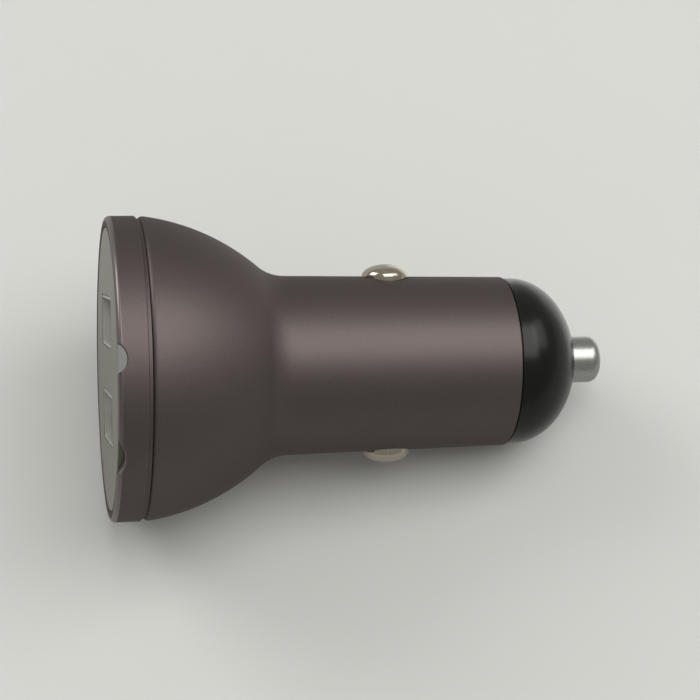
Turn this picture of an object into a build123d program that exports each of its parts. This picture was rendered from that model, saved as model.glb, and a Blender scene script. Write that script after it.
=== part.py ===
from build123d import *
import math
import os

# Car charger plug with two USB sockets. Lengths are in millimetres. The front rim lies on z = 0, the axis
# runs along +Z to the tip, and the two side contacts lie on the X axis.

# Outer form
rim_radius = 17.48
ring_length = 3.3
reveal_width = 0.4
reveal_depth = 0.3
flank_swell = 0.17
flank_crest_z = 0.85
flank_arc_radius = 25.47
flank_wall = 1.5
flank_step_z = 11.9
neck_radius = 10.43
neck_fillet = 5.2
barrel_end_radius = 9.95
barrel_end_z = 46.4
barrel_wall = 1.2
bell_break = 0.4
barrel_break = 0.08

# Front ring
rim_wall = 1.2
rim_chamfer = 0.4
spigot_length = 2.4
spigot_wall = 1.0
flank_lip = 1.4

# Cut-outs in the ring's front edge, turned about the axis from the -Y side
window_turn = -7.4
window_width = 3.25
window_depth = 1.05
notch_turn = 30.3
notch_width = 4.8
notch_depth = 0.85
notch_bevel = 0.12

# Face panel and light guide
panel_recess = 0.05
panel_thickness = 1.6
panel_chamfer = 0.1
panel_skin = 0.4
slot_corner = 0.25
guide_inset = 0.12
guide_reach = 5.2
stem_width = 2.4
stem_thickness = 1.5

# USB sockets
port_pitch = 11.0
port_recess = 0.05
port_width = 13.14
port_height = 5.72
port_length = 10.2
port_corner = 0.6
port_sheet = 0.3
port_margin = 0.08
tongue_width = 11.1
tongue_thickness = 1.84
tongue_setback = 1.0
tongue_offset = 0.64
tongue_base = 1.4
contact_strip_width = 1.0
contact_strip_thickness = 0.15
contact_strip_setback = 0.5
contact_strip_pitches = (-3.5, -1.0, 1.0, 3.5)

# Carrier behind the panel
carrier_plate = 1.4
post_size = 1.8
post_inset = 3.0

# Circuit boards
board_thickness = 1.2
pin_size = 0.6
pin_length = 3.2
pin_stand = 0.5
pin_rows = (-5.0, -2.0, 2.0, 5.0)
led_width = 1.6
led_depth = 0.8
led_height = 0.6

# Parts on the main board
inductor_radius = 3.8
inductor_height = 4.6
inductor_flange = 0.8
inductor_hub_radius = 2.2
inductor_sides = 8
winding_margin = 0.3
capacitor_input_length = 10.5
lead_size = 0.5
lead_spread = 1.25
lead_bend = 0.9
chip_width = 3.9
chip_length = 4.9
chip_height = 1.5
chip_stand = 0.15
chip_lead_span = 6.0
chip_lead_width = 0.42
chip_lead_thickness = 0.25
chip_lead_pitch = 1.27
diode_width = 2.6
diode_length = 4.3
diode_height = 2.1
fuse_width = 2.6
fuse_length = 6.1
fuse_height = 2.6
fuse_cap_length = 1.4
fuse_cap_swell = 0.12

# Side contacts
contact_from_end = 13.9
dome_radius = 2.7
dome_height = 1.42
contact_flange = 0.8
contact_flange_thickness = 0.7
contact_pad_inset = 1.35
bow_sheet = 0.25
bow_width = 3.0
bow_crown = 2.4
bow_bend = 0.7

# Sleeve in the barrel
sleeve_wall = 0.75
sleeve_lead = 7.0
sleeve_sides = 16

# Nose cap and tip
cap_step = 0.18
cap_collar = 1.2
cap_height = 7.42
cap_spigot_length = 3.0
tip_radius = 2.78
tip_reach = 3.58
tip_end_round = 1.3
tip_flange_radius = 4.2
tip_flange_thickness = 1.0
tip_guide_length = 2.3
tip_spring_radius = 1.9
tip_wire = 0.45
tip_turns = 2.5
terminal_width = 5.6
terminal_thickness = 0.5
terminal_leg_width = 3.0
terminal_leg_length = 2.6
terminal_leg_sheet = 0.4

# Clearances
slip_fit = 0.05
hole_fit = 0.1
rest_gap = 0.05

# Places worked out from the sizes above
flank_centre_radius = rim_radius + flank_swell - flank_arc_radius
shell_front_z = ring_length + reveal_width
panel_seat_radius = rim_radius - rim_wall
panel_radius = panel_seat_radius - slip_fit
panel_back_z = panel_recess + panel_thickness
port_front_z = panel_recess + port_recess
guide_floor_z = panel_recess + panel_skin + slip_fit
port_back_z = port_front_z + port_length
port_centres = (-port_pitch / 2, port_pitch / 2)
board_face_x = board_thickness / 2
port_board_back_z = port_back_z + board_thickness
barrel_bore = barrel_end_radius - barrel_wall
contact_z = barrel_end_z - contact_from_end
contact_flange_radius = dome_radius + contact_flange
sleeve_radius = barrel_bore - slip_fit
contact_pad_x = sleeve_radius - contact_pad_inset
cap_spigot_radius = barrel_bore - slip_fit
cap_bore = tip_flange_radius + hole_fit
cap_spigot_z = barrel_end_z - cap_spigot_length
cap_radius = barrel_end_radius - cap_step
terminal_z = barrel_end_z + terminal_thickness
dome_start_z = barrel_end_z + cap_collar
dome_mouth_z = dome_start_z + cap_height * math.sqrt(1 - (tip_radius / cap_radius) ** 2)
tip_end_z = dome_mouth_z + tip_reach
tip_shoulder_z = dome_mouth_z - tip_guide_length
tip_flange_z = tip_shoulder_z - rest_gap - tip_flange_thickness

os.makedirs("parts", exist_ok=True)


def finish(name, piece):
    """Label a finished piece and write it to its own file."""
    piece.label = name
    export_step(piece, f"parts/{name}.step")


def flank_radius(z, inset=0.0):
    """Radius of the bell's flank at a height, brought in by a wall."""
    return flank_centre_radius + math.sqrt((flank_arc_radius - inset) ** 2 - (z - flank_crest_z) ** 2)


def flank_height(radius, inset=0.0):
    """Height at which the bell's flank, brought in by a wall, has come down to a radius."""
    return flank_crest_z + math.sqrt((flank_arc_radius - inset) ** 2 - (radius - flank_centre_radius) ** 2)


def outward_plane(turn, distance):
    """Plane that faces out of the rim, turned about the axis from the -Y side, with its y along +Z."""
    angle = math.radians(turn - 90)
    outward = Vector(math.cos(angle), math.sin(angle), 0)
    return Plane(outward * distance, x_dir=(-outward.Y, outward.X, 0), z_dir=outward)


def outward_floor(turn, z):
    """Level plane whose x runs out of the rim, turned about the axis from the -Y side."""
    angle = math.radians(turn - 90)
    return Plane((0, 0, z), x_dir=(math.cos(angle), math.sin(angle), 0), z_dir=(0, 0, 1))


def arc_radius(width, depth):
    """Radius of the circle whose segment has this width and depth."""
    return width**2 / (8 * depth) + depth / 2


def board_side(side, x):
    """Plane along one face of the main board, facing away from it, with its y along +Z."""
    return Plane((side * x, 0, 0), x_dir=(0, side, 0), z_dir=(side, 0, 0))


neck_z = flank_height(neck_radius)
flank_middle_z = (shell_front_z + neck_z) / 2
seat_z = shell_front_z + spigot_length + hole_fit
spigot_radius = flank_radius(shell_front_z) - flank_lip
spigot_bore = spigot_radius - slip_fit - spigot_wall
port_board_radius = flank_radius(flank_step_z, flank_wall) - hole_fit
guide_start = panel_radius - guide_reach
window_radius = arc_radius(window_width, window_depth)
notch_radius = arc_radius(notch_width, notch_depth)
barrel_slope = (neck_radius - barrel_end_radius) / (barrel_end_z - neck_z)
contact_base_x = barrel_end_radius + barrel_slope * contact_from_end

# Body shell: bell, neck and barrel turned from one bar
with BuildPart() as body_shell:
    with BuildSketch(Plane.XZ) as bell_section:
        with BuildLine():
            front = Line((0, shell_front_z), (flank_radius(shell_front_z), shell_front_z))
            flank_middle = (flank_radius(flank_middle_z), flank_middle_z)
            flank = ThreePointArc(front @ 1, flank_middle, (neck_radius, neck_z))
            barrel = Line(flank @ 1, (barrel_end_radius, barrel_end_z))
            end = Line(barrel @ 1, (0, barrel_end_z))
            Line(end @ 1, front @ 0)
        make_face()
        fillet(bell_section.vertices().sort_by_distance((neck_radius, neck_z))[0], neck_fillet)
    revolve(axis=Axis.Z)
    chamfer(body_shell.edges().filter_by(GeomType.CIRCLE).group_by(Axis.Z)[0], bell_break)
    chamfer(body_shell.edges().filter_by(GeomType.CIRCLE).group_by(Axis.Z)[-1], barrel_break)
    with BuildSketch(Plane.XZ):
        with BuildLine():
            Polyline(
                (0, shell_front_z),
                (spigot_radius, shell_front_z),
                (spigot_radius, seat_z),
                (flank_radius(seat_z, flank_wall), seat_z),
                (flank_radius(flank_step_z, flank_wall), flank_step_z),
                (barrel_bore, flank_height(barrel_bore, flank_wall)),
                (barrel_bore, barrel_end_z),
                (0, barrel_end_z),
                close=True,
            )
        make_face()
    revolve(axis=Axis.Z, mode=Mode.SUBTRACT)
    with BuildSketch(Plane.YZ):
        with Locations((0, contact_z)):
            Circle(dome_radius + hole_fit)
    extrude(amount=rim_radius, both=True, mode=Mode.SUBTRACT)
finish("body_shell", body_shell.part)

# Front ring: rim, reveal groove and the spigot that enters the bell
with BuildPart() as front_ring:
    with BuildSketch(Plane.XZ):
        with BuildLine():
            Polyline(
                (panel_seat_radius, 0),
                (rim_radius - rim_chamfer, 0),
                (rim_radius, rim_chamfer),
                (rim_radius, ring_length),
                (rim_radius - reveal_depth, ring_length),
                (rim_radius - reveal_depth, shell_front_z),
                (spigot_radius - slip_fit, shell_front_z),
                (spigot_radius - slip_fit, shell_front_z + spigot_length),
                (spigot_bore, shell_front_z + spigot_length),
                (spigot_bore, panel_back_z),
                (panel_seat_radius, panel_back_z),
                close=True,
            )
        make_face()
    revolve(axis=Axis.Z)
    with BuildSketch(outward_plane(window_turn, panel_seat_radius - rim_wall)):
        with Locations((0, window_depth - window_radius)):
            Circle(window_radius)
    extrude(amount=3 * rim_wall, mode=Mode.SUBTRACT)
    with BuildSketch(outward_plane(notch_turn, panel_seat_radius - rim_wall)):
        with Locations((0, notch_depth - notch_radius)):
            Circle(notch_radius)
    extrude(amount=3 * rim_wall, mode=Mode.SUBTRACT)
    with BuildSketch(outward_plane(notch_turn, rim_radius - notch_bevel)):
        with Locations((0, notch_depth - notch_radius)):
            Circle(notch_radius)
    extrude(amount=rim_wall, taper=-45, mode=Mode.SUBTRACT)
finish("front_ring", front_ring.part)

# Face panel: disc with two socket windows and a slot behind its edge for the light guide
with BuildPart() as face_panel:
    with BuildSketch(Plane.XY.offset(panel_recess)):
        Circle(panel_radius)
    extrude(amount=panel_thickness)
    chamfer(face_panel.edges().group_by(Axis.Z)[0], panel_chamfer)
    with BuildSketch(Plane.XY.offset(panel_recess)):
        with Locations(*((x, 0) for x in port_centres)):
            RectangleRounded(
                port_height + 2 * port_margin,
                port_width + 2 * port_margin,
                port_corner + port_margin,
            )
    extrude(amount=panel_thickness, mode=Mode.SUBTRACT)
    with BuildSketch(outward_floor(window_turn, panel_recess + panel_skin)) as guide_slot:
        with Locations((guide_start, 0)):
            Rectangle(2 * guide_reach, window_width + 2 * slip_fit, align=(Align.MIN, Align.CENTER))
        fillet(guide_slot.vertices().group_by(Axis.X)[0], slot_corner)
    extrude(amount=panel_thickness - panel_skin, mode=Mode.SUBTRACT)
finish("face_panel", face_panel.part)

# Light guide: frosted D in the ring's cut-out, an arm behind the panel and a stem down to the lamp
with BuildPart() as light_guide:
    for start, floor_z in ((panel_seat_radius, panel_recess), (guide_start + slip_fit, guide_floor_z)):
        with BuildSketch(outward_plane(window_turn, start)):
            with Locations((0, window_depth - window_radius)):
                Circle(window_radius - slip_fit)
            with Locations((0, floor_z)):
                Rectangle(
                    2 * window_radius,
                    2 * window_depth,
                    align=(Align.CENTER, Align.MIN),
                    mode=Mode.INTERSECT,
                )
        extrude(amount=rim_radius - guide_inset - start)
    with BuildSketch(outward_floor(window_turn, guide_floor_z)):
        with Locations((guide_start + slip_fit, 0)):
            Rectangle(stem_thickness, stem_width, align=(Align.MIN, Align.CENTER))
    extrude(amount=port_back_z - led_height - rest_gap - guide_floor_z)
finish("light_guide", light_guide.part)

# Port carrier: moulded plate with a window for each socket and two posts for the port board
post_reach = spigot_bore - slip_fit - post_inset
with BuildPart() as port_carrier:
    with BuildSketch(Plane.XY.offset(panel_back_z)):
        Circle(spigot_bore - slip_fit)
    extrude(amount=carrier_plate)
    with BuildSketch(Plane.XY.offset(panel_back_z)):
        with Locations((-post_reach, 0), (post_reach, 0)):
            Rectangle(post_size, post_size)
    extrude(amount=port_back_z - panel_back_z)
    with BuildSketch(Plane.XY.offset(panel_back_z)):
        with Locations(*((x, 0) for x in port_centres)):
            Rectangle(port_height + 2 * slip_fit, port_width + 2 * slip_fit)
    extrude(amount=carrier_plate, mode=Mode.SUBTRACT)
    with BuildSketch(outward_floor(window_turn, panel_back_z)):
        with Locations((guide_start, 0)):
            Rectangle(
                stem_thickness + 2 * slip_fit,
                stem_width + 2 * slip_fit,
                align=(Align.MIN, Align.CENTER),
            )
    extrude(amount=carrier_plate, mode=Mode.SUBTRACT)
finish("port_carrier", port_carrier.part)


def usb_shell(x):
    """Folded sheet shell of one socket."""
    with BuildPart() as shell:
        with BuildSketch(Plane.XY.offset(port_front_z)):
            with Locations((x, 0)):
                RectangleRounded(port_height, port_width, port_corner)
                Rectangle(port_height - 2 * port_sheet, port_width - 2 * port_sheet, mode=Mode.SUBTRACT)
        extrude(amount=port_length)
    return shell.part


def usb_tongue(x):
    """Moulded tongue of one socket, with the base that closes the shell's back."""
    away = math.copysign(1, x)
    tongue_inset = port_sheet + slip_fit
    with BuildPart() as tongue:
        with BuildSketch(Plane.XY.offset(port_back_z)):
            with Locations((x, 0)):
                Rectangle(port_height - 2 * tongue_inset, port_width - 2 * tongue_inset)
        extrude(amount=-tongue_base)
        with BuildSketch(Plane.XY.offset(port_back_z)):
            with Locations((x - away * tongue_offset, 0)):
                Rectangle(tongue_thickness, tongue_width)
        extrude(amount=tongue_setback - port_length)
        chamfer(tongue.faces().sort_by(Axis.Z)[0].edges(), tongue_thickness / 5)
    return tongue.part


def usb_contacts(x):
    """Spring strips on one socket's tongue."""
    away = math.copysign(1, x)
    strip_x = x - away * (tongue_offset - tongue_thickness / 2 - contact_strip_thickness / 2)
    with BuildPart() as contacts:
        with BuildSketch(Plane.XY.offset(port_back_z - tongue_base)):
            with Locations(*((strip_x, y) for y in contact_strip_pitches)):
                Rectangle(contact_strip_thickness, contact_strip_width)
        extrude(amount=tongue_setback + contact_strip_setback + tongue_base - port_length)
    return contacts.part


for number, port_x in enumerate(port_centres, start=1):
    finish(f"usb_shell_{number}", usb_shell(port_x))
    finish(f"usb_tongue_{number}", usb_tongue(port_x))
    finish(f"usb_contacts_{number}", usb_contacts(port_x))

# Port board: round board across the bell, with holes for the pins
with BuildPart() as port_board:
    with BuildSketch(Plane.XY.offset(port_back_z)):
        Circle(port_board_radius)
        with Locations(*((board_face_x + pin_size / 2, y) for y in pin_rows)):
            Rectangle(pin_size + 2 * slip_fit, pin_size + 2 * slip_fit, mode=Mode.SUBTRACT)
    extrude(amount=board_thickness)
finish("port_board", port_board.part)

# Indicator lamp on the port board, under the light guide's stem
with BuildPart() as indicator_led:
    with BuildSketch(outward_floor(window_turn, port_back_z)):
        with Locations((guide_start + slip_fit + stem_thickness / 2, 0)):
            Rectangle(led_depth, led_width)
    extrude(amount=-led_height)
    chamfer(indicator_led.faces().sort_by(Axis.Z)[0].edges(), led_height / 4)
finish("indicator_led", indicator_led.part)

# Main board: a run down the barrel from the port board, and a narrow tail in the nose cap
board_half = sleeve_radius - sleeve_wall - slip_fit
tail_half = math.sqrt(cap_bore**2 - board_face_x**2) - hole_fit
with BuildPart() as main_board:
    with BuildSketch(Plane.YZ):
        with BuildLine():
            half = Polyline(
                (0, port_board_back_z),
                (board_half, port_board_back_z),
                (board_half, cap_spigot_z - hole_fit),
                (tail_half, cap_spigot_z - hole_fit),
                (tail_half, barrel_end_z),
                (0, barrel_end_z),
            )
            mirror(half, about=Plane.YZ)
        make_face()
    extrude(amount=board_face_x, both=True)
finish("main_board", main_board.part)

# Pins that join the two boards
with BuildPart() as board_pins:
    with BuildSketch(Plane.XY.offset(port_back_z - pin_stand)):
        with Locations(*((board_face_x + pin_size / 2, y) for y in pin_rows)):
            Rectangle(pin_size, pin_size)
    extrude(amount=pin_stand + board_thickness + pin_length)
finish("board_pins", board_pins.part)

# Inductor: eight-sided drum core that stands on the board, and its winding
inductor_z = port_board_back_z + pin_length + inductor_radius + rest_gap


def drum_section(radius, mode=Mode.ADD):
    """Section of the drum, with two of its flats across the board."""
    RegularPolygon(radius, inductor_sides, major_radius=False, rotation=180 / inductor_sides, mode=mode)


with BuildPart() as inductor_core:
    for start in (0, inductor_height - inductor_flange):
        with BuildSketch(board_side(1, board_face_x + start)):
            with Locations((0, inductor_z)):
                drum_section(inductor_radius)
        extrude(amount=inductor_flange)
    with BuildSketch(board_side(1, board_face_x)):
        with Locations((0, inductor_z)):
            drum_section(inductor_hub_radius)
    extrude(amount=inductor_height)
finish("inductor_core", inductor_core.part)

with BuildPart() as inductor_winding:
    with BuildSketch(board_side(1, board_face_x + inductor_flange)):
        with Locations((0, inductor_z)):
            drum_section(inductor_radius - winding_margin)
            drum_section(inductor_hub_radius + slip_fit, Mode.SUBTRACT)
    extrude(amount=inductor_height - 2 * inductor_flange)
finish("inductor_winding", inductor_winding.part)

# Capacitors: one on each face of the main board
capacitor_radius = (contact_pad_x - board_face_x - slip_fit - hole_fit) / 2


def capacitor(side, base_z, length):
    """Can that lies along the board, with two leads bent to the board."""
    axis_x = side * (board_face_x + slip_fit + capacitor_radius)
    with BuildPart() as can:
        with BuildSketch(Plane.XY.offset(base_z)):
            with Locations((axis_x, 0)):
                Circle(capacitor_radius)
        extrude(amount=length)
        for lead_y in (-lead_spread, lead_spread):
            with BuildSketch(Plane.XZ.offset(-lead_y)):
                with BuildLine():
                    Polyline(
                        (axis_x + side * lead_size / 2, base_z),
                        (axis_x + side * lead_size / 2, base_z - lead_bend),
                        (side * board_face_x, base_z - lead_bend),
                        (side * board_face_x, base_z - lead_bend + lead_size),
                        (axis_x - side * lead_size / 2, base_z - lead_bend + lead_size),
                        (axis_x - side * lead_size / 2, base_z),
                        close=True,
                    )
                make_face()
            extrude(amount=lead_size / 2, both=True)
    return can.part


input_base_z = port_board_back_z + rest_gap + lead_bend
output_base_z = contact_z + contact_flange_radius + hole_fit + lead_bend
finish("capacitor_input", capacitor(-1, input_base_z, capacitor_input_length))
finish("capacitor_output", capacitor(1, output_base_z, cap_spigot_z - hole_fit - output_base_z))

# Controller chip on the board's other face, with four gull-wing leads on each side
chip_z = output_base_z + chip_length / 2
with BuildPart() as controller_chip:
    with BuildSketch(board_side(-1, board_face_x + chip_stand)):
        with Locations((0, chip_z)):
            Rectangle(chip_width, chip_length)
    extrude(amount=chip_height)
    chamfer(controller_chip.faces().sort_by(Axis.X)[0].edges(), chip_stand)
    with BuildSketch(board_side(-1, board_face_x)):
        with Locations((0, chip_z)):
            with GridLocations(chip_lead_span - chip_width / 2, chip_lead_pitch, 2, 4):
                Rectangle(chip_width / 2, chip_lead_width)
    extrude(amount=chip_stand + chip_lead_thickness)
finish("controller_chip", controller_chip.part)

# Diode and fuse, one each side of the input capacitor
small_part_z = input_base_z + capacitor_input_length / 2
small_part_row = (capacitor_radius + board_half) / 2
with BuildPart() as diode:
    with BuildSketch(board_side(-1, board_face_x)):
        with Locations((small_part_row, small_part_z)):
            Rectangle(diode_width, diode_length)
    extrude(amount=diode_height, taper=5)
    with BuildSketch(board_side(-1, board_face_x)):
        with Locations((small_part_row, small_part_z)):
            Rectangle(diode_width / 2, diode_length + 2 * lead_size)
    extrude(amount=diode_height / 2)
finish("diode", diode.part)

with BuildPart() as fuse:
    with BuildSketch(board_side(-1, board_face_x + fuse_cap_swell)):
        with Locations((-small_part_row, small_part_z)):
            Rectangle(fuse_width - 2 * fuse_cap_swell, fuse_length - fuse_cap_length)
    extrude(amount=fuse_height - 2 * fuse_cap_swell)
    with BuildSketch(board_side(-1, board_face_x)):
        with Locations((-small_part_row, small_part_z)):
            with GridLocations(0, fuse_length - fuse_cap_length, 1, 2):
                Rectangle(fuse_width, fuse_cap_length)
    extrude(amount=fuse_height)
finish("fuse", fuse.part)

# Sleeve in the barrel: many-sided block with a cross-shaped passage for the board and what stands on it
sleeve_z = contact_z - sleeve_lead
channel_width = 2 * (max(contact_flange_radius, capacitor_radius) + hole_fit)
with BuildPart() as inner_sleeve:
    with BuildSketch(Plane.XY.offset(sleeve_z)):
        RegularPolygon(sleeve_radius, sleeve_sides, rotation=180 / sleeve_sides)
        Rectangle(2 * contact_pad_x, channel_width, mode=Mode.SUBTRACT)
        Rectangle(board_thickness + 2 * slip_fit, 2 * (board_half + slip_fit), mode=Mode.SUBTRACT)
    extrude(amount=cap_spigot_z - sleeve_z)
    with BuildSketch(Plane.YZ):
        with Locations((0, contact_z)):
            Circle(dome_radius + slip_fit)
    extrude(amount=sleeve_radius, both=True, mode=Mode.SUBTRACT)
finish("inner_sleeve", inner_sleeve.part)


# Side contacts: domed plungers with a flange behind the sleeve's pad, each pushed out by a bow spring
contact_flange_x = contact_pad_x - rest_gap - contact_flange_thickness
dome_arc = (dome_radius**2 + dome_height**2) / (2 * dome_height)
dome_half_angle = math.asin(dome_radius / dome_arc) / 2
dome_top_x = contact_base_x + dome_height


def side_contact(side):
    """Plunger turned about the X axis, with its dome outside of the barrel."""
    with BuildPart() as contact:
        with BuildSketch(Plane((0, 0, contact_z), x_dir=(side, 0, 0), z_dir=(0, 0, side))):
            with BuildLine():
                stem = Polyline(
                    (contact_flange_x, 0),
                    (contact_flange_x, contact_flange_radius),
                    (contact_flange_x + contact_flange_thickness, contact_flange_radius),
                    (contact_flange_x + contact_flange_thickness, dome_radius),
                    (contact_base_x, dome_radius),
                )
                dome_shoulder = (
                    dome_top_x - dome_arc * (1 - math.cos(dome_half_angle)),
                    dome_arc * math.sin(dome_half_angle),
                )
                dome = ThreePointArc(stem @ 1, dome_shoulder, (dome_top_x, 0))
                Line(dome @ 1, stem @ 0)
            make_face()
        revolve(axis=Axis((0, 0, contact_z), (1, 0, 0)))
    return contact.part


def side_spring(side):
    """Bow of spring strip with its ends on the board and its crown under the plunger's flange."""
    foot_x = side * (board_face_x + bow_sheet / 2)
    crown_x = side * (contact_flange_x - rest_gap - bow_sheet / 2)
    half_span = contact_flange_radius - bow_sheet
    with BuildPart() as spring:
        with BuildSketch(Plane.XZ):
            with BuildLine():
                FilletPolyline(
                    (foot_x, contact_z - half_span),
                    (crown_x, contact_z - bow_crown / 2),
                    (crown_x, contact_z + bow_crown / 2),
                    (foot_x, contact_z + half_span),
                    radius=bow_bend,
                )
            trace(line_width=bow_sheet)
        extrude(amount=bow_width / 2, both=True)
    return spring.part


for letter, side in (("a", -1), ("b", 1)):
    finish(f"side_contact_{letter}", side_contact(side))
    finish(f"side_spring_{letter}", side_spring(side))

# Nose cap: domed plug in the barrel's end, with a stepped bore for the tip
with BuildPart() as nose_cap:
    with BuildSketch(Plane.XZ):
        with BuildLine():
            spigot = Polyline(
                (0, cap_spigot_z),
                (cap_spigot_radius, cap_spigot_z),
                (cap_spigot_radius, barrel_end_z),
                (cap_radius, barrel_end_z),
                (cap_radius, dome_start_z),
            )
            dome = EllipticalCenterArc((0, dome_start_z), cap_radius, cap_height, arc_size=90)
            Line(dome @ 1, spigot @ 0)
        make_face()
    revolve(axis=Axis.Z)
    for radius, end_z in ((cap_bore, tip_shoulder_z), (tip_radius + slip_fit, tip_end_z)):
        with BuildSketch(Plane.XY.offset(cap_spigot_z)):
            Circle(radius)
        extrude(amount=end_z - cap_spigot_z, mode=Mode.SUBTRACT)
finish("nose_cap", nose_cap.part)

# Tip contact: flanged pin with a rounded end
with BuildPart() as tip_contact:
    with BuildSketch(Plane.XZ) as tip_section:
        with BuildLine():
            Polyline(
                (0, tip_flange_z),
                (tip_flange_radius, tip_flange_z),
                (tip_flange_radius, tip_flange_z + tip_flange_thickness),
                (tip_radius, tip_flange_z + tip_flange_thickness),
                (tip_radius, tip_end_z),
                (0, tip_end_z),
                close=True,
            )
        make_face()
        fillet(tip_section.vertices().sort_by_distance((tip_radius, tip_end_z))[0], tip_end_round)
    revolve(axis=Axis.Z)
finish("tip_contact", tip_contact.part)

# Tip terminal: square brass plate on the board's end, with a leg on each face of the board
with BuildPart() as tip_terminal:
    with BuildSketch(Plane.XY.offset(barrel_end_z)):
        Rectangle(terminal_width, terminal_width)
    extrude(amount=terminal_thickness)
    for side in (-1, 1):
        with BuildSketch(board_side(side, board_face_x)):
            with Locations((0, barrel_end_z)):
                Rectangle(terminal_leg_width, terminal_leg_length, align=(Align.CENTER, Align.MAX))
        extrude(amount=terminal_leg_sheet)
finish("tip_terminal", tip_terminal.part)

# Tip spring: coil of square wire between the terminal and the tip's flange
tip_spring_rise = tip_flange_z - terminal_z - tip_wire
tip_spring_start = (0, 0, terminal_z + tip_wire / 2)
with BuildPart() as tip_spring:
    with BuildLine() as spring_path:
        Helix(tip_spring_rise / tip_turns, tip_spring_rise, tip_spring_radius, tip_spring_start)
    with BuildSketch(Plane(spring_path.line @ 0, z_dir=spring_path.line % 0)):
        Rectangle(tip_wire, tip_wire)
    sweep(is_frenet=True)
finish("tip_spring", tip_spring.part)
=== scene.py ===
import math

import bmesh
import bpy
from mathutils import Matrix, Vector


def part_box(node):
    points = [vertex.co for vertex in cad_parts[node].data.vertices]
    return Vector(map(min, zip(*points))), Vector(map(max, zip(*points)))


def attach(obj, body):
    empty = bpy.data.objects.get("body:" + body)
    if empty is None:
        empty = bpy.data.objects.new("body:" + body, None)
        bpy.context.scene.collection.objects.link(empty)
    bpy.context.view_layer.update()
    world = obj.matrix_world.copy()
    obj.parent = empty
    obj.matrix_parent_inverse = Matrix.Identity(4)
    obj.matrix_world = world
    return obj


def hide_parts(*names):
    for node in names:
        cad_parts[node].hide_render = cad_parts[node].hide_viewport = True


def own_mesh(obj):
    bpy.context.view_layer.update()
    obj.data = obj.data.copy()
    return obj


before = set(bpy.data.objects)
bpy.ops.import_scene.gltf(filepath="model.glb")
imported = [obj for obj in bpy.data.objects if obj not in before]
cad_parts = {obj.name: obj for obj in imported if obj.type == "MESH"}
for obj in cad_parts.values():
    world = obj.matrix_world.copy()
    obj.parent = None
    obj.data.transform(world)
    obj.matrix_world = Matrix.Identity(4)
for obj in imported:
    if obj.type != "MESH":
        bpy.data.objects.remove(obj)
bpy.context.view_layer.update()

# Lengths are in metres, written as so many millimetres.
MM = 0.001

# Sizes read from the frame
_, ring_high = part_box("front_ring")
shell_low, shell_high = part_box("body_shell")
_, panel_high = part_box("face_panel")
cap_low, cap_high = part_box("nose_cap")
tip_low, tip_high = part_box("tip_contact")
dome_low, dome_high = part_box("side_contact_b")
rim_radius = ring_high.x
shell_front_z = shell_low.z
barrel_end_z = shell_high.z
panel_back_z = panel_high.z
spigot_end_z = ring_high.z
contact_z = (dome_low.z + dome_high.z) / 2

# Sizes of the outer form that boxes do not give
flank_arc_radius = 25.47 * MM
flank_crest_z = 0.85 * MM
flank_swell = 0.17 * MM
flank_centre_radius = rim_radius + flank_swell - flank_arc_radius
neck_radius = 10.43 * MM
neck_fillet = 5.2 * MM
barrel_end_radius = 9.95 * MM
barrel_bore = 8.75 * MM
inner_step_z = 11.9 * MM
flank_wall = 1.5 * MM
flank_lip = 1.4 * MM
bell_round = 0.55 * MM
barrel_round = 0.07 * MM
edge_round = 0.1 * MM

# Sizes of the front ring and of the cut-outs in its edge
ring_back_z = 3.3 * MM
rim_wall = 1.2 * MM
rim_lip = 0.5 * MM
groove_round = 0.08 * MM
reveal_depth = 0.3 * MM
spigot_wall = 1.0 * MM
slip_fit = 0.05 * MM
window_angle = math.radians(-97.4)
window_width = 3.25 * MM
window_depth = 1.05 * MM
window_bevel = 0.04 * MM
notch_angle = math.radians(-59.7)
notch_width = 4.8 * MM
notch_depth = 0.8 * MM
notch_bevel = 0.08 * MM

# Sizes of the contacts, the cap and the tip
hole_radius = 2.8 * MM
hole_lip = 0.12 * MM
dome_radius = 2.7 * MM
dome_height = 1.42 * MM
contact_flange_thickness = 0.7 * MM
cap_collar = 1.2 * MM
seam_width = 0.2 * MM
seam_depth = 0.2 * MM
cap_height = 7.42 * MM
cap_spigot_radius = 8.7 * MM
cap_bore = 4.3 * MM
tip_radius = 2.78 * MM
tip_end_round = 1.3 * MM
tip_flange_thickness = 1.0 * MM
tip_guide_length = 2.3 * MM

# How finely the turned pieces are divided
TURN_COLUMNS = 192
SMALL_COLUMNS = 96
CUT_COLUMNS = 28
CUT_MARGIN = 1.1
FLANK_STEPS = 40
NECK_STEPS = 14
CAP_STEPS = 48
DOME_STEPS = 24
TIP_STEPS = 10
ROUND_STEPS = 5
LIP_STEPS = 7
LIP_START = 3
SUPPORT = 0.06 * MM
SHARP_ANGLE = math.radians(38)
ON_AXIS = 1e-9


def arc(centre, radius, start, end, steps):
    """Points (radius, z) along an arc, from one angle to another."""
    turns = (start + (end - start) * i / steps for i in range(steps + 1))
    return [(centre[0] + radius * math.cos(t), centre[1] + radius * math.sin(t)) for t in turns]


def rounded(corners, steps=ROUND_STEPS):
    """Outline through corners given as (radius, z, round), with an arc at each corner that has a round.

    A point beside each end of an arc keeps the shading of the flats next to it flat.
    """
    outline = []
    for i, (r, z, size) in enumerate(corners):
        here = Vector((r, z))
        if not size:
            outline.append((r, z))
            continue
        before = Vector(corners[i - 1][:2]) - here
        after = Vector(corners[(i + 1) % len(corners)][:2]) - here
        half = before.angle(after) / 2
        reach = size / math.tan(half)
        supports = []
        for way in (before, after):
            room = way.length - reach
            way.normalize()
            supports.append(here + way * (reach + min(SUPPORT, room / 3)))
        centre = here + (before + after).normalized() * (size / math.sin(half))
        first = here + before * reach - centre
        last = here + after * reach - centre
        points = [centre + first.slerp(last, k / steps) * size for k in range(steps + 1)]
        outline += [(point.x, point.y) for point in (supports[0], *points, supports[1])]
    return outline


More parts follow.
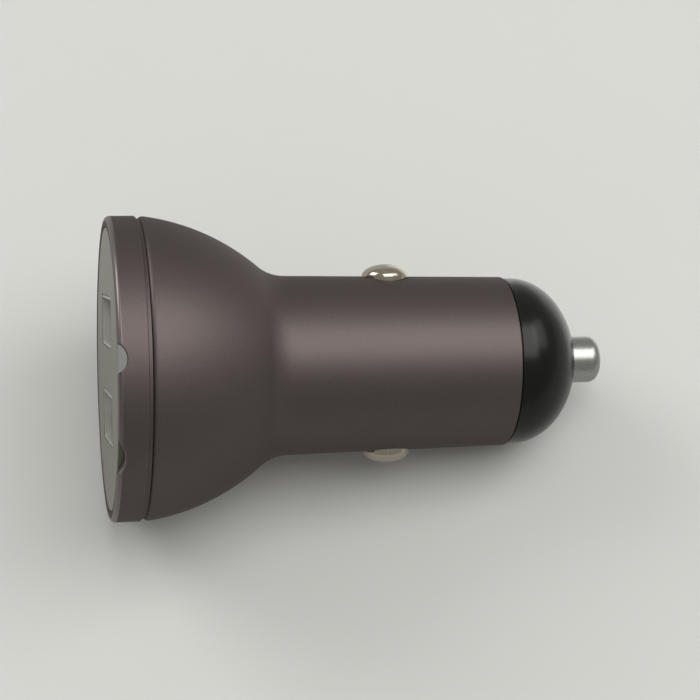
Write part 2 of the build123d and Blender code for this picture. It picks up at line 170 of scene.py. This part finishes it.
def finished_mesh(mesh_maker, name, materials):
    """Object made from a bmesh, shaded smooth with sharp edges kept."""
    bmesh.ops.recalc_face_normals(mesh_maker, faces=mesh_maker.faces)
    mesh = bpy.data.meshes.new(name)
    mesh_maker.to_mesh(mesh)
    mesh_maker.free()
    for material in materials:
        mesh.materials.append(material)
    mesh.shade_smooth()
    mesh.set_sharp_from_angle(angle=SHARP_ANGLE)
    piece = bpy.data.objects.new(name, mesh)
    bpy.context.scene.collection.objects.link(piece)
    return piece


def ring_of_points(maker, radius, z, angles):
    """Vertices of one turn of a lathe, or a single one on the axis."""
    if radius < ON_AXIS:
        return [maker.verts.new((0, 0, z))]
    return [maker.verts.new((radius * math.cos(a), radius * math.sin(a), z)) for a in angles]


def join_rings(maker, lower, upper, skip=()):
    """Faces between two turns of a lathe, apart from the columns that are skipped."""
    count = max(len(lower), len(upper))
    for i in range(count):
        if i in skip:
            continue
        k = (i + 1) % count
        if len(lower) == 1:
            maker.faces.new((lower[0], upper[i], upper[k]))
        elif len(upper) == 1:
            maker.faces.new((lower[i], upper[0], lower[k]))
        else:
            maker.faces.new((lower[i], upper[i], upper[k], lower[k]))


def even_angles(count):
    """Angles evenly spaced round a turn."""
    return [2 * math.pi * i / count for i in range(count)]


def lathe(name, outline, materials, closed=False, columns=TURN_COLUMNS):
    """Piece turned about Z from an outline of (radius, z), open from axis to axis or closed on itself."""
    maker = bmesh.new()
    angles = even_angles(columns)
    rings = [ring_of_points(maker, r, z, angles) for r, z in outline]
    for lower, upper in zip(rings, rings[1:]):
        join_rings(maker, lower, upper)
    if closed:
        join_rings(maker, rings[-1], rings[0])
    return finished_mesh(maker, name, materials)


# Materials
NOISE_LOW = 0.3
NOISE_HIGH = 0.7
GRAIN_RELIEF = 0.004 * MM
BLASTED_RELIEF = 0.0012 * MM
FILM_ROUGH = 0.12
QUARTER_TURN = 0.25


def new_material(name):
    """Material with its own node tree, and that tree's main shader."""
    material = bpy.data.materials.new(name)
    material.use_nodes = True
    return material, material.node_tree, material.node_tree.nodes["Principled BSDF"]


def noise(tree, scale):
    """Noise over the object's own coordinates, stretched by a scale for each axis (per metre)."""
    place = tree.nodes.new("ShaderNodeTexCoord")
    stretch = tree.nodes.new("ShaderNodeMapping")
    stretch.inputs["Scale"].default_value = scale
    texture = tree.nodes.new("ShaderNodeTexNoise")
    texture.inputs["Scale"].default_value = 1.0
    tree.links.new(place.outputs["Object"], stretch.inputs["Vector"])
    tree.links.new(stretch.outputs["Vector"], texture.inputs["Vector"])
    return texture.outputs["Fac"]


def spread(tree, value, low, high):
    """A noise value brought between two numbers."""
    node = tree.nodes.new("ShaderNodeMapRange")
    node.inputs["From Min"].default_value = NOISE_LOW
    node.inputs["From Max"].default_value = NOISE_HIGH
    node.inputs["To Min"].default_value = low
    node.inputs["To Max"].default_value = high
    tree.links.new(value, node.inputs["Value"])
    return node.outputs["Result"]


def blend_colours(tree, factor, first, second):
    """Colour between two, by a factor."""
    node = tree.nodes.new("ShaderNodeMix")
    node.data_type = "RGBA"
    node.inputs["A"].default_value = (*first, 1.0)
    node.inputs["B"].default_value = (*second, 1.0)
    tree.links.new(factor, node.inputs["Factor"])
    return node.outputs["Result"]


def bump(tree, shader, height, distance):
    """Fine relief on the shader's normal, of a height given in metres."""
    node = tree.nodes.new("ShaderNodeBump")
    node.inputs["Distance"].default_value = distance
    tree.links.new(height, node.inputs["Height"])
    tree.links.new(node.outputs["Normal"], shader.inputs["Normal"])


def grained(
    name,
    dark,
    light,
    rough,
    grain,
    metallic=0.0,
    relief=GRAIN_RELIEF,
    ior=1.5,
    stretch=0.0,
    edge=1.0,
    film=0.0,
):
    """Material whose colour and roughness wander a little with a grain (per metre, on each axis).

    A stretch above 0 draws its highlights out along Z, as the marks of a lathe do. An edge below 1 dims what
    it reflects at a flat angle. A film is a share of clear glossy skin over it.
    """
    material, tree, shader = new_material(name)
    shader.inputs["Metallic"].default_value = metallic
    shader.inputs["IOR"].default_value = ior
    shader.inputs["Specular Tint"].default_value = (edge, edge, edge, 1.0)
    shader.inputs["Coat Weight"].default_value = film
    shader.inputs["Coat Roughness"].default_value = FILM_ROUGH
    if stretch:
        round_axis = tree.nodes.new("ShaderNodeTangent")
        round_axis.direction_type = "RADIAL"
        round_axis.axis = "Z"
        tree.links.new(round_axis.outputs["Tangent"], shader.inputs["Tangent"])
        shader.inputs["Anisotropic"].default_value = stretch
        shader.inputs["Anisotropic Rotation"].default_value = QUARTER_TURN
    value = noise(tree, grain)
    colour = blend_colours(tree, spread(tree, value, 0.0, 1.0), dark, light)
    tree.links.new(colour, shader.inputs["Base Color"])
    tree.links.new(spread(tree, value, *rough), shader.inputs["Roughness"])
    bump(tree, shader, value, relief)
    return material


# Grains, per metre on each axis
TURNED = (60.0, 60.0, 5000.0)
WOUND = (9000.0, 90.0, 90.0)
BLASTED = (5500.0, 5500.0, 5500.0)
FINE = (9000.0, 9000.0, 9000.0)
MOULDED = (2500.0, 2500.0, 2500.0)

ANODISED_DARK = (0.140, 0.115, 0.111)
ANODISED_LIGHT = (0.164, 0.135, 0.130)
LIP_DARK = (0.200, 0.174, 0.167)
LIP_LIGHT = (0.232, 0.202, 0.194)
anodised = grained(
    "anodised",
    ANODISED_DARK,
    ANODISED_LIGHT,
    (0.52, 0.56),
    BLASTED,
    metallic=1.0,
    relief=BLASTED_RELIEF,
    stretch=0.2,
    edge=0.6,
)
anodised_lip = grained(
    "anodised_lip", LIP_DARK, LIP_LIGHT, (0.36, 0.40), BLASTED, metallic=1.0, relief=BLASTED_RELIEF
)
# The notch's bevel gets a lighter grey metal than the ring: a painted highlight along that edge.
painted_highlight_edge = grained("painted_highlight_edge", (0.21, 0.20, 0.193), (0.25, 0.24, 0.232), (0.34, 0.40), FINE, metallic=1.0)
nickel = grained("nickel", (0.47, 0.415, 0.33), (0.53, 0.47, 0.38), (0.12, 0.16), FINE, metallic=1.0)
tip_plate = grained("tip_plate", (0.40, 0.40, 0.38), (0.45, 0.45, 0.43), (0.26, 0.32), FINE, metallic=1.0)
cap_black = grained(
    "cap_black", (0.0035, 0.0038, 0.0026), (0.006, 0.0064, 0.0046), (0.20, 0.26), FINE, ior=1.39
)
panel_olive = grained(
    "panel_olive", (0.132, 0.130, 0.082), (0.146, 0.144, 0.092), (0.41, 0.47), MOULDED, ior=1.4, film=0.35
)
frosted = grained("frosted", (0.22, 0.225, 0.205), (0.26, 0.265, 0.245), (0.45, 0.55), FINE)
tongue_white = grained("tongue_white", (0.66, 0.65, 0.61), (0.72, 0.71, 0.67), (0.45, 0.55), MOULDED)
plain_black = grained("plain_black", (0.018, 0.018, 0.018), (0.028, 0.028, 0.028), (0.5, 0.6), MOULDED)
socket_steel = grained(
    "socket_steel", (0.60, 0.60, 0.56), (0.70, 0.70, 0.65), (0.40, 0.48), TURNED, metallic=1.0
)
gold_flash = grained("gold_flash", (0.78, 0.58, 0.27), (0.86, 0.67, 0.34), (0.22, 0.32), FINE, metallic=1.0)
board_green = grained("board_green", (0.012, 0.075, 0.032), (0.02, 0.11, 0.05), (0.35, 0.45), MOULDED)
lamp_lens = grained("lamp_lens", (0.78, 0.75, 0.55), (0.86, 0.84, 0.66), (0.18, 0.28), MOULDED)
tinned = grained("tinned", (0.60, 0.57, 0.48), (0.70, 0.67, 0.58), (0.28, 0.38), FINE, metallic=1.0)
ferrite = grained("ferrite", (0.03, 0.03, 0.032), (0.05, 0.05, 0.052), (0.6, 0.72), FINE)
copper = grained("copper", (0.42, 0.14, 0.06), (0.52, 0.20, 0.09), (0.28, 0.38), WOUND, metallic=1.0)
can_metal = grained("can_metal", (0.55, 0.55, 0.57), (0.64, 0.64, 0.66), (0.3, 0.4), TURNED, metallic=1.0)
ceramic = grained("ceramic", (0.52, 0.47, 0.36), (0.60, 0.55, 0.44), (0.4, 0.5), MOULDED)
spring_wire = grained(
    "spring_wire", (0.42, 0.42, 0.42), (0.52, 0.52, 0.52), (0.28, 0.36), FINE, metallic=1.0
)
brass = grained("brass", (0.62, 0.44, 0.17), (0.72, 0.53, 0.23), (0.26, 0.36), FINE, metallic=1.0)

# Body shell


def flank_radius(z, inset=0.0):
    """Radius of the bell's flank at a height, brought in by a wall."""
    return flank_centre_radius + math.sqrt((flank_arc_radius - inset) ** 2 - (z - flank_crest_z) ** 2)


def flank_height(radius, inset=0.0):
    """Height at which the bell's flank, brought in by a wall, has come down to a radius."""
    return flank_crest_z + math.sqrt((flank_arc_radius - inset) ** 2 - (radius - flank_centre_radius) ** 2)


neck_z = flank_height(neck_radius)
barrel_slope = (barrel_end_radius - neck_radius) / (barrel_end_z - neck_z)
spigot_radius = flank_radius(shell_front_z) - flank_lip
spigot_bore = spigot_radius - slip_fit - spigot_wall


def barrel_radius(z):
    """Radius of the tapered barrel at a height."""
    return neck_radius + barrel_slope * (z - neck_z)


def neck_arc(steps):
    """Arc that eases the flank into the barrel, tangent to both."""
    along = Vector((barrel_slope, 1.0)).normalized()
    outward = Vector((along.y, -along.x))
    flank_centre = Vector((flank_centre_radius, flank_crest_z))
    start = Vector((neck_radius, neck_z)) + outward * neck_fillet - flank_centre
    reach = flank_arc_radius + neck_fillet
    shift = -start.dot(along) + math.sqrt(start.dot(along) ** 2 - start.length_squared + reach**2)
    centre = flank_centre + start + along * shift
    to_flank = flank_centre - centre
    first = math.atan2(to_flank.y, to_flank.x)
    last = math.atan2(-outward.y, -outward.x)
    return arc(centre, neck_fillet, first % (2 * math.pi), last % (2 * math.pi), steps)


HOLE_ROWS = 12
HOLE_HALF_COLUMNS = 11
HOLE_HALF_HEIGHT = 3.6 * MM
HOLE_BLEND = 3
hole_heights = [
    contact_z + HOLE_HALF_HEIGHT * (2 * i / HOLE_ROWS - 1) for i in range(HOLE_ROWS + 1)
]


def hole_patch(maker, frame_verts, radius_at, side, lip):
    """Faces from a rectangle of vertices in to a round hole on the X axis; returns the hole's edge."""
    outer = frame_verts
    for k in range(1, HOLE_BLEND + 1):
        ring = []
        for vert in frame_verts:
            y, z = vert.co.y, vert.co.z - contact_z
            reach = math.hypot(y, z)
            size = reach + (hole_radius + lip - reach) * k / HOLE_BLEND
            y, z = y * size / reach, contact_z + z * size / reach
            ring.append(maker.verts.new((side * math.sqrt(radius_at(z) ** 2 - y**2), y, z)))
        join_rings(maker, outer, ring)
        outer = ring
    return outer


def hole_edge(maker, ring, depth):
    """The hole's edge brought in to its bore, a little below the surface."""
    edge = []
    for vert in ring:
        y, z = vert.co.y, vert.co.z - contact_z
        size = hole_radius / math.hypot(y, z)
        x = vert.co.x - math.copysign(depth, vert.co.x)
        edge.append(maker.verts.new((x, y * size, contact_z + z * size)))
    join_rings(maker, ring, edge)
    return edge


def frame_of(rings, first, last, middle, half):
    """Vertices round a block of rows and columns, in order."""
    left, right = middle - half, middle + half
    step = 1 if last > first else -1
    path = [(first, c) for c in range(left, right)]
    path += [(r, right) for r in range(first, last, step)]
    path += [(last, c) for c in range(right, left, -1)]
    path += [(r, left) for r in range(last, first, -step)]
    return [rings[r][c % TURN_COLUMNS] for r, c in path]


def body_shell():
    """Bell, neck and barrel with a round hole on each side."""
    flank_start = math.asin((shell_front_z - flank_crest_z) / flank_arc_radius)
    neck = neck_arc(NECK_STEPS)
    flank_end = math.atan2(neck[0][1] - flank_crest_z, neck[0][0] - flank_centre_radius)
    flank = arc((flank_centre_radius, flank_crest_z), flank_arc_radius, flank_start, flank_end, FLANK_STEPS)
    front = rounded(
        [(spigot_radius, shell_front_z, 0), (*flank[0], bell_round), (*flank[2], 0)]
    )
    barrel = [(barrel_radius(z), z) for z in hole_heights]
    end = rounded(
        [
            (*barrel[-1], 0),
            (barrel_end_radius, barrel_end_z, barrel_round),
            (barrel_bore, barrel_end_z, barrel_round),
            (barrel_bore, hole_heights[-1], 0),
        ]
    )
    seat_z = spigot_end_z + 2 * slip_fit
    inner = [
        (flank_radius(inner_step_z, flank_wall), inner_step_z),
        (flank_radius(seat_z, flank_wall), seat_z),
        (spigot_radius, seat_z),
    ]
    outer_first = len(front) + len(flank[3:]) + len(neck[1:])
    outline = front + flank[3:] + neck[1:] + barrel + end[1:-1]
    inner_first = len(outline)
    outline += [(barrel_bore, z) for z in reversed(hole_heights)]
    outline += [(barrel_bore, flank_height(barrel_bore, flank_wall))] + inner
    maker = bmesh.new()
    rings = [ring_of_points(maker, r, z, even_angles(TURN_COLUMNS)) for r, z in outline]
    middles = (0, TURN_COLUMNS // 2)
    holes = {
        (m + c) % TURN_COLUMNS for m in middles for c in range(-HOLE_HALF_COLUMNS, HOLE_HALF_COLUMNS)
    }
    blocks = [range(start, start + HOLE_ROWS) for start in (outer_first, inner_first)]
    for i in range(len(rings)):
        skip = holes if any(i in block for block in blocks) else ()
        join_rings(maker, rings[i], rings[(i + 1) % len(rings)], skip)
    for middle, side in zip(middles, (1, -1)):
        outside = frame_of(rings, outer_first, outer_first + HOLE_ROWS, middle, HOLE_HALF_COLUMNS)
        inside = frame_of(rings, inner_first + HOLE_ROWS, inner_first, middle, HOLE_HALF_COLUMNS)
        mouth = hole_edge(maker, hole_patch(maker, outside, barrel_radius, side, hole_lip), hole_lip)
        back = hole_patch(maker, inside, lambda z: barrel_bore, side, 0.0)
        join_rings(maker, mouth, back)
    bmesh.ops.delete(maker, geom=[v for v in maker.verts if not v.link_faces], context="VERTS")
    return finished_mesh(maker, "shell", [anodised])


shell = body_shell()
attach(shell, "housing")
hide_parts("body_shell")

# Front ring


def arc_size(width, depth):
    """Radius of the circle whose segment has this width and depth."""
    return width**2 / (8 * depth) + depth / 2


def cut_depth(radius, angle):
    """How far the ring's front edge is cut back at a place."""
    deepest = 0.0
    for middle, width, depth in (
        (window_angle, window_width, window_depth),
        (notch_angle, notch_width, notch_depth),
    ):
        aside = radius * math.sin(angle - middle)
        if abs(aside) < width / 2 and math.cos(angle - middle) > 0:
            size = arc_size(width, depth)
            deepest = max(deepest, depth - size + math.sqrt(size**2 - aside**2))
    return deepest


def ring_angles():
    """Columns round the ring, closer together across the cut-outs."""
    spans = []
    for middle, width in ((window_angle, window_width), (notch_angle, notch_width)):
        half = CUT_MARGIN * math.asin(width / 2 / (rim_radius - rim_wall))
        spans.append((middle - half, middle + half))
    angles = []
    for low, high in spans:
        angles += [low + (high - low) * i / CUT_COLUMNS for i in range(CUT_COLUMNS + 1)]
    for a in even_angles(TURN_COLUMNS):
        turned = (a + math.pi) % (2 * math.pi) - math.pi
        if not any(low <= turned <= high for low, high in spans):
            angles.append(turned)
    return sorted(angles)


def lip_depth(radius):
    """How far the rounded lip of the rim lies behind its front plane at a radius."""
    aside = max(0.0, radius - rim_radius + rim_lip)
    return rim_lip - math.sqrt(max(0.0, rim_lip**2 - aside**2))


def lip_points(angle):
    """Outline of the rim's front from its inner edge over the lip, or along a cut-out, to its outside."""
    seat_radius = rim_radius - rim_wall
    cut = cut_depth(rim_radius, angle)
    inner_z = cut_depth(seat_radius, angle)
    points = [
        (seat_radius, inner_z + window_bevel + SUPPORT),
        (seat_radius, inner_z + window_bevel),
        (seat_radius + window_bevel, inner_z),
    ]
    if cut < rim_lip:
        bevel = 0.0
        turns = [math.pi / 2 * k / LIP_STEPS for k in range(LIP_STEPS)]
        radii = [rim_radius - rim_lip * (1 - math.sin(t)) for t in turns]
    else:
        bevel = notch_bevel if abs(angle - notch_angle) < abs(angle - window_angle) else window_bevel
        width = rim_lip - bevel
        radii = [rim_radius - rim_lip + width * k / (LIP_STEPS - 1) for k in range(LIP_STEPS)]
    radii.insert(0, rim_radius - rim_lip - SUPPORT)
    points += [(r, max(lip_depth(r), cut_depth(r, angle))) for r in radii]
    side_z = max(rim_lip, cut + bevel)
    points += [(rim_radius, side_z), (rim_radius, side_z + SUPPORT)]
    return points


def front_ring():
    """Rim with a reveal groove behind it, a spigot, and two cut-outs in its front edge."""
    groove_radius = rim_radius - reveal_depth
    plug_radius = spigot_radius - slip_fit
    back = rounded(
        [
            (rim_radius, window_depth + rim_lip, 0),
            (rim_radius, ring_back_z, groove_round),
            (groove_radius, ring_back_z, groove_round),
            (groove_radius, shell_front_z, 0),
            (plug_radius, shell_front_z, 0),
            (plug_radius, spigot_end_z, 0),
            (spigot_bore, spigot_end_z, 0),
            (spigot_bore, panel_back_z, 0),
            (rim_radius - rim_wall, panel_back_z, 0),
        ]
    )
    maker = bmesh.new()
    columns = []
    for angle in ring_angles():
        outline = lip_points(angle) + back
        columns.append(
            [maker.verts.new((r * math.cos(angle), r * math.sin(angle), z)) for r, z in outline]
        )
    lip_end = LIP_START + LIP_STEPS
    for left, right in zip(columns, columns[1:] + columns[:1]):
        place = left[lip_end + 1].co + right[lip_end + 1].co
        in_notch = cut_depth(rim_radius, math.atan2(place.y, place.x)) > rim_lip / 2 and place.x > 0
        for i in range(len(left)):
            k = (i + 1) % len(left)
            face = maker.faces.new((left[i], left[k], right[k], right[i]))
            # Faces of the notch's bevel take the lighter grey metal, a painted highlight along that edge.
            if in_notch and i == lip_end:
                face.material_index = 2
            elif LIP_START <= i <= lip_end:
                face.material_index = 1
    return finished_mesh(maker, "ring", [anodised, anodised_lip, painted_highlight_edge])


ring = front_ring()
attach(ring, "housing")
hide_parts("front_ring")

# Nose cap, tip and side contacts


def nose_cap():
    """Domed plug with a stepped bore."""
    cap_radius = cap_high.x
    dome_start = barrel_end_z + cap_collar
    mouth = tip_radius + slip_fit
    mouth_turn = math.acos((mouth + edge_round) / cap_radius)
    dome = []
    for i in range(CAP_STEPS + 1):
        turn = mouth_turn * i / CAP_STEPS
        dome.append((cap_radius * math.cos(turn), dome_start + cap_height * math.sin(turn)))
    shoulder_z = cap_high.z - tip_guide_length
    collar = rounded(
        [
            (cap_spigot_radius, barrel_end_z, 0),
            (cap_radius - seam_depth, barrel_end_z, 0),
            (cap_radius - seam_depth, barrel_end_z + seam_width, 0),
            (cap_radius, barrel_end_z + seam_width, barrel_round),
            (cap_radius, dome_start - cap_collar / 2, 0),
        ]
    )
    outline = [
        (cap_bore, cap_low.z),
        (cap_spigot_radius, cap_low.z),
        *collar,
        *dome,
        (mouth, cap_high.z - edge_round),
        (mouth, shoulder_z),
        (cap_bore, shoulder_z),
    ]
    return lathe("cap", outline, [cap_black], closed=True)


def tip_contact():
    """Flanged pin with a rounded end."""
    flange_radius = tip_high.x
    shoulder_z = tip_low.z + tip_flange_thickness
    outline = rounded(
        [
            (0, tip_low.z, 0),
            (flange_radius, tip_low.z, edge_round),
            (flange_radius, shoulder_z, edge_round),
            (tip_radius, shoulder_z, 0),
            (tip_radius, tip_high.z, tip_end_round),
            (0, tip_high.z, 0),
        ],
        steps=TIP_STEPS,
    )
    return lathe("tip", outline, [tip_plate], columns=SMALL_COLUMNS)


def side_contact(letter, side):
    """Domed plunger turned about the X axis."""
    flange_radius = (dome_high.z - dome_low.z) / 2
    base_x = dome_high.x - dome_height
    dome = []
    for i in range(DOME_STEPS + 1):
        turn = math.pi / 2 * i / DOME_STEPS
        dome.append((dome_radius * math.cos(turn), base_x + dome_height * math.sin(turn)))
    outline = [
        (0, dome_low.x),
        (flange_radius, dome_low.x),
        (flange_radius, dome_low.x + contact_flange_thickness),
        (dome_radius, dome_low.x + contact_flange_thickness),
        *dome[:-1],
        (0, dome_high.x),
    ]
    piece = lathe(f"contact_{letter}", outline, [nickel], columns=SMALL_COLUMNS)
    lay_over = Matrix.Translation((0, 0, contact_z)) @ Matrix.Rotation(side * math.pi / 2, 4, "Y")
    piece.data.transform(lay_over)
    return piece


cap = nose_cap()
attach(cap, "housing")
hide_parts("nose_cap")

tip = tip_contact()
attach(tip, "tip")
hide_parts("tip_contact")

for letter, side in (("a", -1), ("b", 1)):
    contact = side_contact(letter, side)
    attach(contact, f"contact_{letter}")
    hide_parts(f"side_contact_{letter}")


def pressed_spring(node):
    """A copy of a spring node in spring wire, carried by the housing in place of the node."""
    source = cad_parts[node]
    mesh = source.data.copy()
    mesh.transform(source.matrix_world)
    mesh.materials.clear()
    mesh.materials.append(spring_wire)
    piece = bpy.data.objects.new(f"pressed_{node}", mesh)
    bpy.context.scene.collection.objects.link(piece)
    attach(piece, "housing")
    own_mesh(piece)
    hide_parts(node)


pressed_spring("tip_spring")
pressed_spring("side_spring_b")
pressed_spring("side_spring_a")

# Finishes of the nodes that are shown as they are
GUIDE_BEVEL = 0.06 * MM
GUIDE_BEVEL_STEPS = 2
node_finish = {
    "face_panel": panel_olive,
    "light_guide": frosted,
    "port_carrier": plain_black,
    "usb_shell_1": socket_steel,
    "usb_shell_2": socket_steel,
    "usb_tongue_1": tongue_white,
    "usb_tongue_2": tongue_white,
    "usb_contacts_1": gold_flash,
    "usb_contacts_2": gold_flash,
    "port_board": board_green,
    "main_board": board_green,
    "indicator_led": lamp_lens,
    "board_pins": tinned,
    "inductor_core": ferrite,
    "inductor_winding": copper,
    "capacitor_input": can_metal,
    "capacitor_output": can_metal,
    "controller_chip": plain_black,
    "diode": plain_black,
    "fuse": ceramic,
    "inner_sleeve": plain_black,
    "tip_terminal": brass,
}
for node, material in node_finish.items():
    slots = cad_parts[node].data.materials
    slots.clear()
    slots.append(material)
soft_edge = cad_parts["light_guide"].modifiers.new("soft_edge", "BEVEL")
soft_edge.width = GUIDE_BEVEL
soft_edge.segments = GUIDE_BEVEL_STEPS

# Camera, at the photograph's viewing angle
CAMERA_DISTANCE = 233.84 * MM
CAMERA_LENS = 102.857
CAMERA_SENSOR = 36.0
CAMERA_CLIP = 1 * MM
CAMERA_ROUND = math.radians(-93.4)
CAMERA_BELOW = math.radians(10.9)
CAMERA_ROLL = math.radians(1.14)
AIM_Z = 28.296 * MM
AIM_UP = 1.642 * MM

back = Vector(
    (
        math.cos(CAMERA_ROUND) * math.cos(CAMERA_BELOW),
        math.sin(CAMERA_ROUND) * math.cos(CAMERA_BELOW),
        -math.sin(CAMERA_BELOW),
    )
)
axis_seen = Vector((0, 0, 1)) - back * back.z
axis_seen.normalize()
across = back.cross(axis_seen)
image_right = axis_seen * math.cos(CAMERA_ROLL) - across * math.sin(CAMERA_ROLL)
image_up = axis_seen * math.sin(CAMERA_ROLL) + across * math.cos(CAMERA_ROLL)
aim = Vector((0, 0, AIM_Z)) + image_up * AIM_UP


def axes_matrix(right, up, toward, place):
    """Matrix of something that looks along minus its third axis, from a place."""
    turn = Matrix((right, up, toward)).transposed().to_4x4()
    return Matrix.Translation(place) @ turn


camera_data = bpy.data.cameras.new("camera")
camera_data.lens = CAMERA_LENS
camera_data.sensor_width = CAMERA_SENSOR
camera_data.clip_start = CAMERA_CLIP
camera = bpy.data.objects.new("camera", camera_data)
camera.matrix_world = axes_matrix(image_right, image_up, back, aim + back * CAMERA_DISTANCE)
bpy.context.scene.collection.objects.link(camera)
bpy.context.scene.camera = camera

# Lights, in metres and watts
middle = Vector((0, 0, AIM_Z))


def softbox(name, right, up, toward, distance=1.0, width=0.5, height=0.5, power=1.0):
    """Area light that faces the object from a direction given along the image's right, up and out of it."""
    data = bpy.data.lights.new(name, "AREA")
    data.shape = "RECTANGLE"
    data.size = width
    data.size_y = height
    data.energy = power
    lamp = bpy.data.objects.new(name, data)
    direction = (image_right * right + image_up * up + back * toward).normalized()
    sideways = image_up.cross(direction).normalized()
    lamp.matrix_world = axes_matrix(
        sideways, direction.cross(sideways), direction, middle + direction * distance
    )
    bpy.context.scene.collection.objects.link(lamp)


softbox("key_light", right=0.30, up=0.45, toward=0.84, width=0.84, height=0.76, power=4.7)
softbox("right_light", right=0.69, up=0.53, toward=0.48, height=0.6, power=1.3)
softbox("left_light", right=-0.70, up=0.66, toward=0.27, power=3.0)
softbox("back_light", right=0.45, up=0.35, toward=-0.8, distance=0.5, width=0.4, height=0.4, power=0.5)

# Floor, and the table that the photographed plug lies on
TABLE_GREY = (0.75, 0.75, 0.717)
FLOOR_GREY = (0.88, 0.88, 0.84)
TABLE_TILT = math.radians(30)
TABLE_GAP = 0.3 * MM
TABLE_THIN = 0.5
CLEAR_REACH = 1.0
FLOOR_REACH = 1.5
FLOOR_GLOW = 0.34
STAGE_ROUGH = 0.9
STAGE_SHINE = 0.1
STAGE_GRAIN = (60, 60, 60)
STAGE_SHADE = 0.985
WORLD_GREY = (0.97, 0.98, 0.95)
WORLD_LIGHT_TOP = 0.37
WORLD_LIGHT_BOTTOM = 0.30
WORLD_FADE_START = -1.0
WORLD_FADE_END = 0.2


def combined(tree, operation, first, second):
    """Output of a math node that takes a socket, and a socket or a number."""
    node = tree.nodes.new("ShaderNodeMath")
    node.operation = operation
    tree.links.new(first, node.inputs[0])
    if isinstance(second, float):
        node.inputs[1].default_value = second
    else:
        tree.links.new(second, node.inputs[1])
    return node.outputs["Value"]


def stage_material(name, grey, glow=0.0, thin=0.0):
    """Pale surface that shows from its front only, with a glow that lights nothing.

    Reflections see through it by the share called thin.
    """
    material, tree, shader = new_material(name)
    shader.inputs["Roughness"].default_value = STAGE_ROUGH
    shader.inputs["Specular IOR Level"].default_value = STAGE_SHINE
    shade = blend_colours(tree, noise(tree, STAGE_GRAIN), [STAGE_SHADE * c for c in grey], grey)
    tree.links.new(shade, shader.inputs["Base Color"])
    rays = tree.nodes.new("ShaderNodeLightPath")
    if glow:
        shader.inputs["Emission Color"].default_value = (*grey, 1)
        seen = rays.outputs["Is Camera Ray"]
        for kind in ("Is Glossy Ray", "Is Transmission Ray"):
            seen = combined(tree, "MAXIMUM", seen, rays.outputs[kind])
        tree.links.new(combined(tree, "MULTIPLY", seen, glow), shader.inputs["Emission Strength"])
    clear = tree.nodes.new("ShaderNodeBsdfTransparent")
    mix = tree.nodes.new("ShaderNodeMixShader")
    side = tree.nodes.new("ShaderNodeNewGeometry")
    passed = combined(tree, "MULTIPLY", rays.outputs["Is Glossy Ray"], thin)
    passed = combined(tree, "MAXIMUM", side.outputs["Backfacing"], passed)
    tree.links.new(passed, mix.inputs["Fac"])
    tree.links.new(shader.outputs["BSDF"], mix.inputs[1])
    tree.links.new(clear.outputs["BSDF"], mix.inputs[2])
    tree.links.new(mix.outputs["Shader"], tree.nodes["Material Output"].inputs["Surface"])
    return material


def stage_piece(name, corners, faces, material):
    """Flat piece of the stage, which casts no shadow."""
    mesh = bpy.data.meshes.new(name)
    mesh.from_pydata(corners, [], faces)
    mesh.materials.append(material)
    piece = bpy.data.objects.new(name, mesh)
    piece.visible_shadow = False
    bpy.context.scene.collection.objects.link(piece)
    return piece


def floor_piece(name, opening, reach, material):
    """Level ring of floor at the height of the front rim."""
    angles = even_angles(TURN_COLUMNS)
    corners = [(opening * math.cos(a), opening * math.sin(a), 0) for a in angles]
    corners += [(reach * math.cos(a), reach * math.sin(a), 0) for a in angles]
    faces = []
    for i in range(TURN_COLUMNS):
        k = (i + 1) % TURN_COLUMNS
        faces.append((i, i + TURN_COLUMNS, k + TURN_COLUMNS, k))
    piece = stage_piece(name, corners, faces, material)
    piece.visible_diffuse = False
    return piece


def table_piece():
    """Table behind the plug, just clear of its bell and of its cap."""
    lean = (rim_radius - barrel_end_radius) / (barrel_end_z - ring_back_z)
    corners = []
    for x, z in ((-1, -1), (1, -1), (1, 1), (-1, 1)):
        x, z = x * FLOOR_REACH, z * FLOOR_REACH
        gap = rim_radius + TABLE_GAP - lean * (z - ring_back_z)
        corners.append((x, (gap - math.sin(TABLE_TILT) * x) / math.cos(TABLE_TILT), z))
    pale = stage_material("table_pale", TABLE_GREY, thin=TABLE_THIN)
    return stage_piece("table", corners, [(0, 1, 2, 3)], pale)


# The floor next to the plug is left out of its reflections, so that light from its face side reaches them.
floor_pale = stage_material("floor_pale", FLOOR_GREY, FLOOR_GLOW)
floor_piece("floor_near", rim_radius - 2 * rim_lip, CLEAR_REACH, floor_pale).visible_glossy = False
floor_piece("floor", CLEAR_REACH, FLOOR_REACH, floor_pale)
table_piece().visible_diffuse = False

world = bpy.data.worlds.new("world")
world.use_nodes = True
bpy.context.scene.world = world
sky_tree = world.node_tree
sky = sky_tree.nodes["Background"]
sky.inputs["Color"].default_value = (*WORLD_GREY, 1)
way = sky_tree.nodes.new("ShaderNodeTexCoord")
parts = sky_tree.nodes.new("ShaderNodeSeparateXYZ")
fade = sky_tree.nodes.new("ShaderNodeMapRange")
fade.inputs["From Min"].default_value = WORLD_FADE_START
fade.inputs["From Max"].default_value = WORLD_FADE_END
fade.inputs["To Min"].default_value = WORLD_LIGHT_TOP
fade.inputs["To Max"].default_value = WORLD_LIGHT_BOTTOM
sky_tree.links.new(way.outputs["Generated"], parts.inputs["Vector"])
sky_tree.links.new(parts.outputs["X"], fade.inputs["Value"])
sky_tree.links.new(fade.outputs["Result"], sky.inputs["Strength"])

bpy.context.scene.view_settings.view_transform = "Standard"
